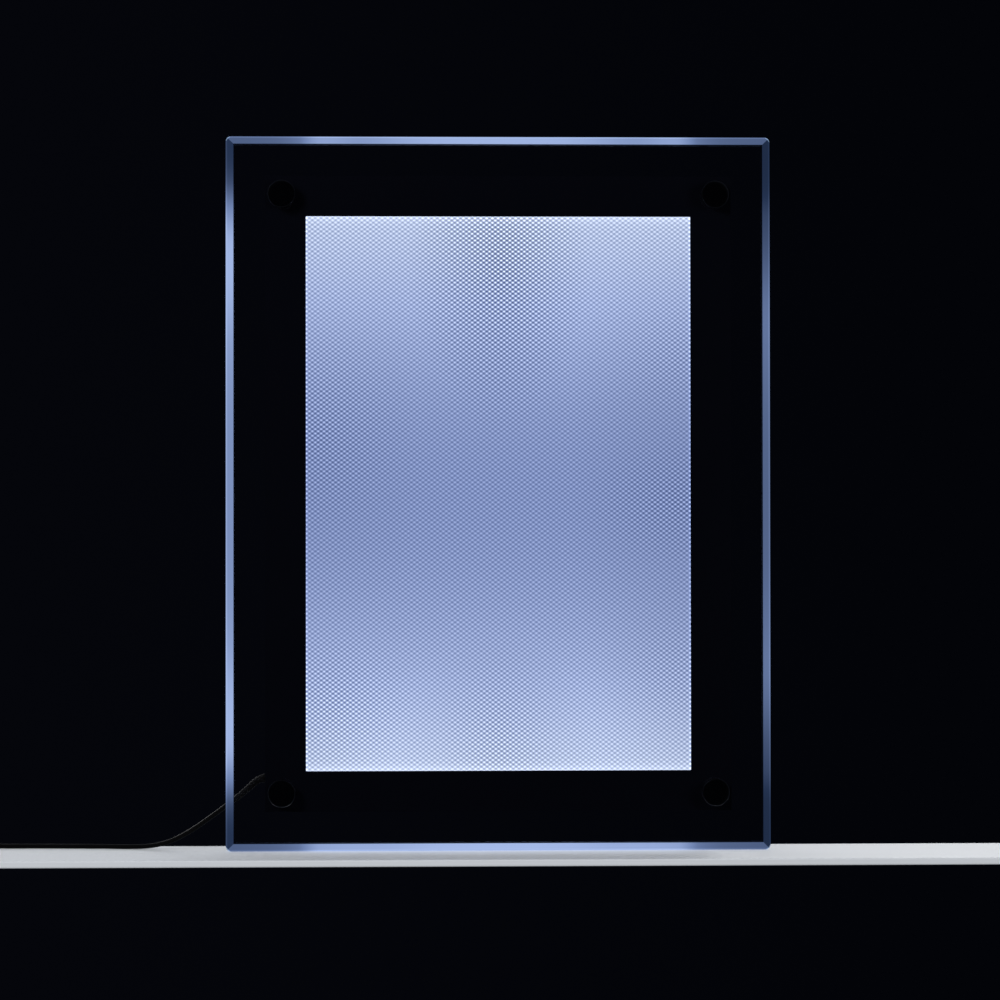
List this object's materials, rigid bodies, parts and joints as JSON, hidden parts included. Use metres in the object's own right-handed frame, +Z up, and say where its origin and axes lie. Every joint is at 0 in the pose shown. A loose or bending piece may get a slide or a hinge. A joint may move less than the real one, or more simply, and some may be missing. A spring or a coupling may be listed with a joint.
{
  "type": "illuminated poster frame",
  "caption": "Wall-hung edge-lit frame for an A3 sheet: clear bevelled front plate held by screw-on caps over a shallow aluminium tray, with a low-voltage lead.",
  "frame": {"origin": "on the wall plane, midway between the four wall barrels", "axes": "+X to the viewer's right, +Y into the wall, +Z up"},
  "size_m": [0.6419, 0.0783, 0.5268],
  "materials": {
    "clear_acrylic": "polished clear cast acrylic, bevel lit from within",
    "black_film": "black print bonded behind the clear plate",
    "light_guide": "clear acrylic with a printed dot lattice, lit",
    "white_film": "white reflector film",
    "cover_sheet": "satin sheet",
    "black_aluminium": "black anodised extrusion",
    "plain_aluminium": "mill finish extrusion",
    "led_board": "white solder mask on an aluminium core",
    "black_nylon": "moulded",
    "black_rubber": "matt",
    "clear_nylon": "translucent washer",
    "chrome": "dark mirror plating",
    "zinc_steel": "zinc plated",
    "nickel_plate": "nickel plated",
    "black_pvc": "soft satin PVC",
    "red_pvc": "soft satin PVC",
    "black_strap": "woven hook and loop strap"
  },
  "bodies": {
    "tray": {"light_guide": "light_guide", "reflector_sheet": "white_film", "back_cover": "cover_sheet", "rail_top": "black_aluminium", "rail_bottom": "black_aluminium", "rail_left": "black_aluminium", "rail_right": "black_aluminium", "corner_block_tl": "black_nylon", "corner_block_tr": "black_nylon", "corner_block_bl": "black_nylon", "corner_block_br": "black_nylon", "led_holder_top": "plain_aluminium", "led_holder_bottom": "plain_aluminium", "led_board_top": "led_board", "led_board_bottom": "led_board", "link_wire_red": "red_pvc", "link_wire_black": "black_pvc", "feed_wire_red": "red_pvc", "feed_wire_black": "black_pvc", "standoff_barrel_tl": "chrome", "standoff_barrel_tr": "chrome", "standoff_barrel_bl": "chrome", "standoff_barrel_br": "chrome", "stud_tl": "zinc_steel", "stud_tr": "zinc_steel", "stud_bl": "zinc_steel", "stud_br": "zinc_steel", "rear_washer_tl": "black_rubber", "rear_washer_tr": "black_rubber", "rear_washer_bl": "black_rubber", "rear_washer_br": "black_rubber", "cover_screw_tl": "zinc_steel", "cover_screw_tr": "zinc_steel", "cover_screw_bl": "zinc_steel", "cover_screw_br": "zinc_steel", "strain_relief": "black_pvc", "power_cord": "black_pvc", "cord_coil": "black_pvc", "cord_tail": "black_pvc", "cord_tie": "black_strap", "dc_plug_body": "black_pvc", "dc_plug_sleeve": "nickel_plate", "dc_plug_core": "black_nylon"},
    "plate": {"front_plate": "clear_acrylic", "border_mask": "black_film"},
    "washer_tl": {"cap_washer_tl": "clear_nylon"},
    "washer_tr": {"cap_washer_tr": "clear_nylon"},
    "washer_bl": {"cap_washer_bl": "clear_nylon"},
    "washer_br": {"cap_washer_br": "clear_nylon"},
    "cap_tl": {"stud_cap_tl": "chrome"},
    "cap_tr": {"stud_cap_tr": "chrome"},
    "cap_bl": {"stud_cap_bl": "chrome"},
    "cap_br": {"stud_cap_br": "chrome"}
  },
  "joints": [
    {"name": "plate_slide", "type": "slide", "parent": "tray", "child": "plate", "axis": [0, -1, 0], "range_m": [0, 0.05]},
    {"name": "cap_slide_tl", "type": "slide", "parent": "plate", "child": "washer_tl", "axis": [0, -1, 0], "range_m": [0, 0.006]},
    {"name": "cap_slide_tr", "type": "slide", "parent": "plate", "child": "washer_tr", "axis": [0, -1, 0], "range_m": [0, 0.006]},
    {"name": "cap_slide_bl", "type": "slide", "parent": "plate", "child": "washer_bl", "axis": [0, -1, 0], "range_m": [0, 0.006]},
    {"name": "cap_slide_br", "type": "slide", "parent": "plate", "child": "washer_br", "axis": [0, -1, 0], "range_m": [0, 0.006]},
    {"name": "cap_turn_tl", "type": "hinge", "parent": "washer_tl", "child": "cap_tl", "pos_m": [-0.1595, -0.0352, 0.22], "axis": [0, -1, 0], "range_deg": [0, 1730]},
    {"name": "cap_turn_tr", "type": "hinge", "parent": "washer_tr", "child": "cap_tr", "pos_m": [0.1595, -0.0352, 0.22], "axis": [0, -1, 0], "range_deg": [0, 1730]},
    {"name": "cap_turn_bl", "type": "hinge", "parent": "washer_bl", "child": "cap_bl", "pos_m": [-0.1595, -0.0352, -0.22], "axis": [0, -1, 0], "range_deg": [0, 1730]},
    {"name": "cap_turn_br", "type": "hinge", "parent": "washer_br", "child": "cap_br", "pos_m": [0.1595, -0.0352, -0.22], "axis": [0, -1, 0], "range_deg": [0, 1730]}
  ],
  "couplings": [
    {"joint": "cap_turn_tl", "follows": "cap_slide_tl", "rad_per_m": 5026.5},
    {"joint": "cap_turn_tr", "follows": "cap_slide_tr", "rad_per_m": 5026.5},
    {"joint": "cap_turn_bl", "follows": "cap_slide_bl", "rad_per_m": 5026.5},
    {"joint": "cap_turn_br", "follows": "cap_slide_br", "rad_per_m": 5026.5}
  ]
}
